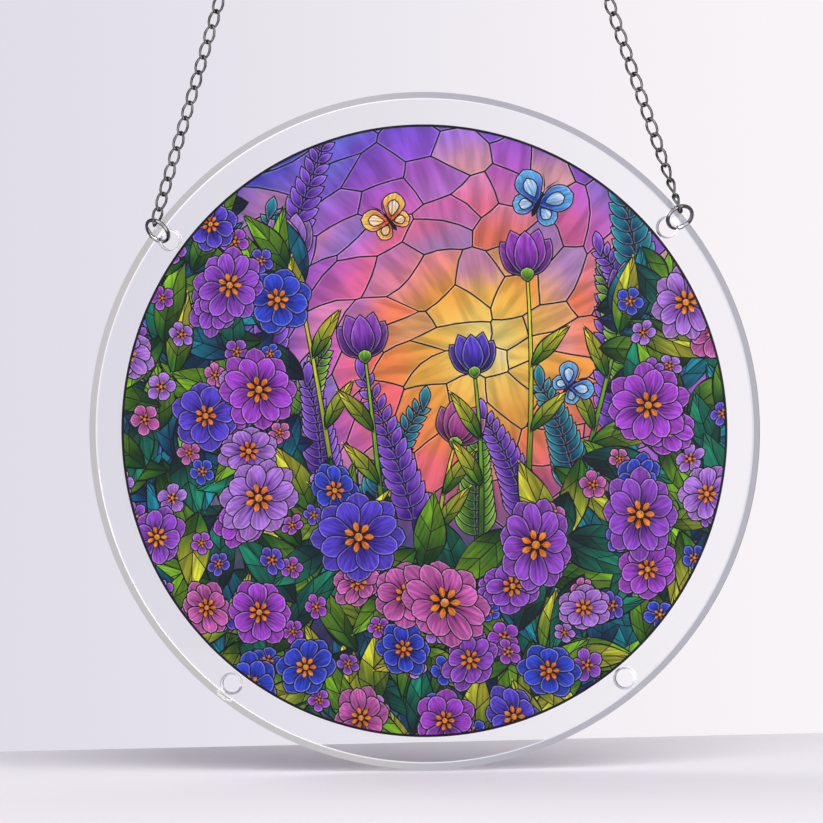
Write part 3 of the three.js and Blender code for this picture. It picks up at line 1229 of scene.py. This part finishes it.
# %% [markdown]
# The ink goes from its root colour to its tip colour along each piece's own run, with brush
# streaks that follow the run, softer ones in the sky. Petals also get fine veins that fan out from
# the foot and fade towards the tip.

# %% Ink
THROUGH_SHARE = 0.55
STREAK_ALONG = 1.6
STREAK_ACROSS = 4
VEINS = 17
VEIN_TINT = (0.25, 0.1, 0.4, 1)


def ink_colour(tree, wander):
    """The colour of a piece at each place, before its lead is left black."""
    root, tip, run = (
        add_node(tree, "ShaderNodeAttribute", attribute_name=name).outputs[output]
        for name, output in (("root", "Color"), ("tip", "Color"), ("run", "Vector"))
    )
    kind = add_node(tree, "ShaderNodeAttribute", attribute_name="kind").outputs["Fac"]
    along, aside, seed = add_node(tree, "ShaderNodeSeparateXYZ", {0: run}).outputs
    reach = between(tree, maths(tree, "ADD", along, wander), 0.08, 0.95, 0, 1)
    colour = mixed(tree, reach, root, tip)
    long_way = maths(tree, "MULTIPLY", along, STREAK_ALONG)
    short_way = maths(tree, "MULTIPLY", aside, STREAK_ACROSS)
    inputs = {0: long_way, 1: short_way, 2: seed}
    stretched = add_node(tree, "ShaderNodeCombineXYZ", inputs).outputs[0]
    light = between(tree, cloud(tree, stretched, 1.4, 5), 0.3, 0.72, 0.62, 1.42)
    soft_light = between(tree, cloud(tree, stretched, 0.6, 2), 0.3, 0.7, 0.78, 1.2)
    is_sky = maths(tree, "COMPARE", kind, KIND_SKY, 0.5)
    colour = mixed(tree, 1.0, colour, mixed(tree, is_sky, light, soft_light), "MULTIPLY")
    fan = maths(tree, "DIVIDE", aside, maths(tree, "ADD", along, 0.35))
    waves = maths(tree, "MULTIPLY_ADD", fan, VEINS, maths(tree, "MULTIPLY", wander, 9))
    vein = between(tree, maths(tree, "SINE", waves), 0.6, 1, 0, 1)
    fade = between(tree, along, 0.15, 0.95, 0.55, 0.0)
    is_petal = maths(tree, "COMPARE", kind, KIND_PETAL, 0.5)
    vein = maths(tree, "MULTIPLY", maths(tree, "MULTIPLY", vein, fade), is_petal)
    colour = mixed(tree, vein, colour, mixed(tree, 1.0, colour, VEIN_TINT, "MULTIPLY"))
    return mixed(tree, maths(tree, "GREATER_THAN", kind, 0.5), (*LEAD_INK, 1), colour)


def ink_finish():
    finish, tree, shader = new_finish("stained_glass_ink")
    patches = cloud(tree, own_place(tree), 120, 4)
    colour = ink_colour(tree, maths(tree, "MULTIPLY_ADD", patches, 0.5, -0.25))
    tree.links.new(colour, shader.inputs["Base Color"])
    tree.links.new(between(tree, patches, 0.3, 0.7, 0.28, 0.42), shader.inputs["Roughness"])
    through = add_node(tree, "ShaderNodeBsdfTranslucent", {"Color": colour}).outputs[0]
    inputs = {0: THROUGH_SHARE, 1: shader.outputs[0], 2: through}
    both = add_node(tree, "ShaderNodeMixShader", inputs).outputs[0]
    tree.links.new(both, tree.nodes["Material Output"].inputs["Surface"])
    return finish


picture.data.materials.append(ink_finish())

# %% [markdown]
# ## Floor, light and camera
# A plain pale floor lies just under the plate. In even light, clear plastic and polished metal
# vanish, so a photographer sets dark cards where they would mirror a wall, and bright and grey
# ones round the backdrop, which a bevelled rim bends into view as fine lines. Here the world does
# both. It is a grey for each angle from the line of sight, one for light that comes through the
# plastic, one for what is mirrored, and one for the light on other surfaces. Two large soft lamps,
# in front and behind, bring up the ink's colours.

# %% Floor
VIEW_AZIMUTH = math.radians(8.7)
VIEW_ROLL = math.radians(1.3)
FLOOR_DROP = 0.4 * MM
FLOOR_SIZE = Vector((1.6, 0.75, 0.02))
FLOOR_BEHIND = 0.12
FLOOR_TONES = ((0.5, 0.49, 0.53, 1), (0.56, 0.55, 0.59, 1))
clear_selection()
floor_height = plate_low.z - FLOOR_DROP - FLOOR_SIZE.z / 2
floor_turn = Matrix.Rotation(VIEW_AZIMUTH, 4, "Z")
floor_middle = floor_turn @ Vector((0, FLOOR_BEHIND - FLOOR_SIZE.y / 2, 0))
bpy.ops.mesh.primitive_cube_add(
    size=1,
    location=(floor_middle.x, floor_middle.y, floor_height),
    rotation=(0, 0, VIEW_AZIMUTH),
    scale=FLOOR_SIZE,
)
floor = bpy.context.object
floor.name = "floor"
fix_place(floor)
apply_modifier(floor, "BEVEL", width=4 * MM, segments=4)
floor_finish, floor_tree, floor_shader = new_finish("pale_floor")
floor_patches = cloud(floor_tree, own_place(floor_tree), 6, 3)
floor_tone = mixed(floor_tree, floor_patches, *FLOOR_TONES)
floor_tree.links.new(floor_tone, floor_shader.inputs["Base Color"])
floor_shader.inputs["Roughness"].default_value = 0.5
floor_shader.inputs["Specular IOR Level"].default_value = 0
floor.visible_glossy = False
floor.data.materials.append(floor_finish)


# %% Lamps
def soft_lamp(name, offset, side, watts, tint):
    bpy.ops.object.light_add(type="AREA", location=PLATE_CENTRE + offset)
    lamp = bpy.context.object
    lamp.name = name
    lamp.data.size = side
    lamp.data.energy = watts
    lamp.data.color = tint
    lamp.rotation_euler = (-offset).to_track_quat("-Z", "Y").to_euler()
    lamp.visible_glossy = False


clear_selection()
soft_lamp("front_lamp", Vector((0.7, -1.1, 0.9)), 1.8, 56, (1, 0.98, 0.96))
soft_lamp("back_lamp", Vector((-1.4, 1.0, 0.9)), 1.1, 18, (1, 0.97, 0.93))

# %% Greys of the world
VIEW_LINE = Vector((math.sin(VIEW_AZIMUTH), -math.cos(VIEW_AZIMUTH), 0))
VIEW_ACROSS = Vector((math.cos(VIEW_AZIMUTH), math.sin(VIEW_AZIMUTH), 0))
WALL_LEFT = (0.74, 0.72, 0.8, 1)
WALL_RIGHT = (0.95, 0.91, 0.94, 1)
STRAIGHT_THROUGH = ((0, 1), (7.5, 1))
BENT_THROUGH = ((9, 1.6), (15, 1.6), (18, 0.6), (26, 0.6), (29, 1.6), (42, 1.6), (50, 0.35))
MIRRORED = ((0, 0.03), (18, 0.03), (26, 1.7), (44, 1.7), (56, 0.1), (90, 0.1))
ROUND_ABOUT = ((0, 1), (50, 1), (66, 0.3), (90, 0.3))


def share_along(tree, way, line):
    inputs = {0: way, 1: line}
    node = add_node(tree, "ShaderNodeVectorMath", inputs, operation="DOT_PRODUCT")
    return node.outputs["Value"]


def grey_by_angle(tree, way, line, stops):
    """A grey for the angle between a direction and a line, from pairs of degrees and grey."""
    angle = maths(tree, "ARCCOSINE", maths(tree, "ABSOLUTE", share_along(tree, way, line)))
    right_angles = maths(tree, "DIVIDE", angle, math.pi / 2)
    node = add_node(tree, "ShaderNodeValToRGB", {0: right_angles})
    ramp = node.color_ramp
    while len(ramp.elements) < len(stops):
        ramp.elements.new(1)
    for element, (degrees, grey) in zip(ramp.elements, stops):
        element.position = degrees / 90
        element.color = (grey, grey, grey, 1)
    return node.outputs[0]


# %% World
world = bpy.data.worlds.new("soft_studio")
bpy.context.scene.world = world
world.use_nodes = True
tree = world.node_tree
way = add_node(tree, "ShaderNodeTexCoord").outputs["Generated"]
ray = add_node(tree, "ShaderNodeLightPath").outputs
across = between(tree, share_along(tree, way, VIEW_ACROSS), -0.09, 0.09, 0, 1)
wall = mixed(tree, across, WALL_LEFT, WALL_RIGHT)
grey = grey_by_angle(tree, way, (0, 1, 0), ROUND_ABOUT)
mirrored = grey_by_angle(tree, way, (0, 1, 0), MIRRORED)
through = grey_by_angle(tree, way, VIEW_LINE, STRAIGHT_THROUGH + BENT_THROUGH)
for kind, seen in (
    ("Is Glossy Ray", mirrored),
    ("Is Transmission Ray", through),
    ("Is Camera Ray", (1, 1, 1, 1)),
):
    grey = mixed(tree, ray[kind], grey, seen)
light = mixed(tree, 1.0, wall, grey, "MULTIPLY")
tree.links.new(light, tree.nodes["Background"].inputs["Color"])
bpy.context.scene.view_settings.view_transform = "Standard"

# %% Camera
IMAGE_SIDE = 823
PLATE_PIXELS = 338.7
PLATE_AT_PIXEL = Vector((421.6, 431.0))
VIEW_DISTANCE = 1.6
VIEW_ELEVATION = math.radians(0.7)
SENSOR = 36
metres_a_pixel = PLATE_RADIUS / PLATE_PIXELS
level = math.cos(VIEW_ELEVATION)
to_camera = Vector(
    (math.sin(VIEW_AZIMUTH) * level, -math.cos(VIEW_AZIMUTH) * level, math.sin(VIEW_ELEVATION))
)
look = (-to_camera).to_track_quat("-Z", "Y").to_matrix()
look = look @ Matrix.Rotation(-VIEW_ROLL, 3, "Z")
right = look.col[0]
up = look.col[1]
off_centre = (PLATE_AT_PIXEL - Vector((IMAGE_SIDE / 2, IMAGE_SIDE / 2))) * metres_a_pixel
aim = PLATE_CENTRE - right * off_centre.x + up * off_centre.y
clear_selection()
bpy.ops.object.camera_add(location=aim + to_camera * VIEW_DISTANCE)
camera = bpy.context.object
camera.matrix_world = Matrix.Translation(camera.location) @ look.to_4x4()
camera.data.sensor_width = SENSOR
camera.data.lens = SENSOR * VIEW_DISTANCE / (IMAGE_SIDE * metres_a_pixel)
camera.data.clip_start = 0.01
bpy.context.scene.camera = camera
print("lens mm:", camera.data.lens)
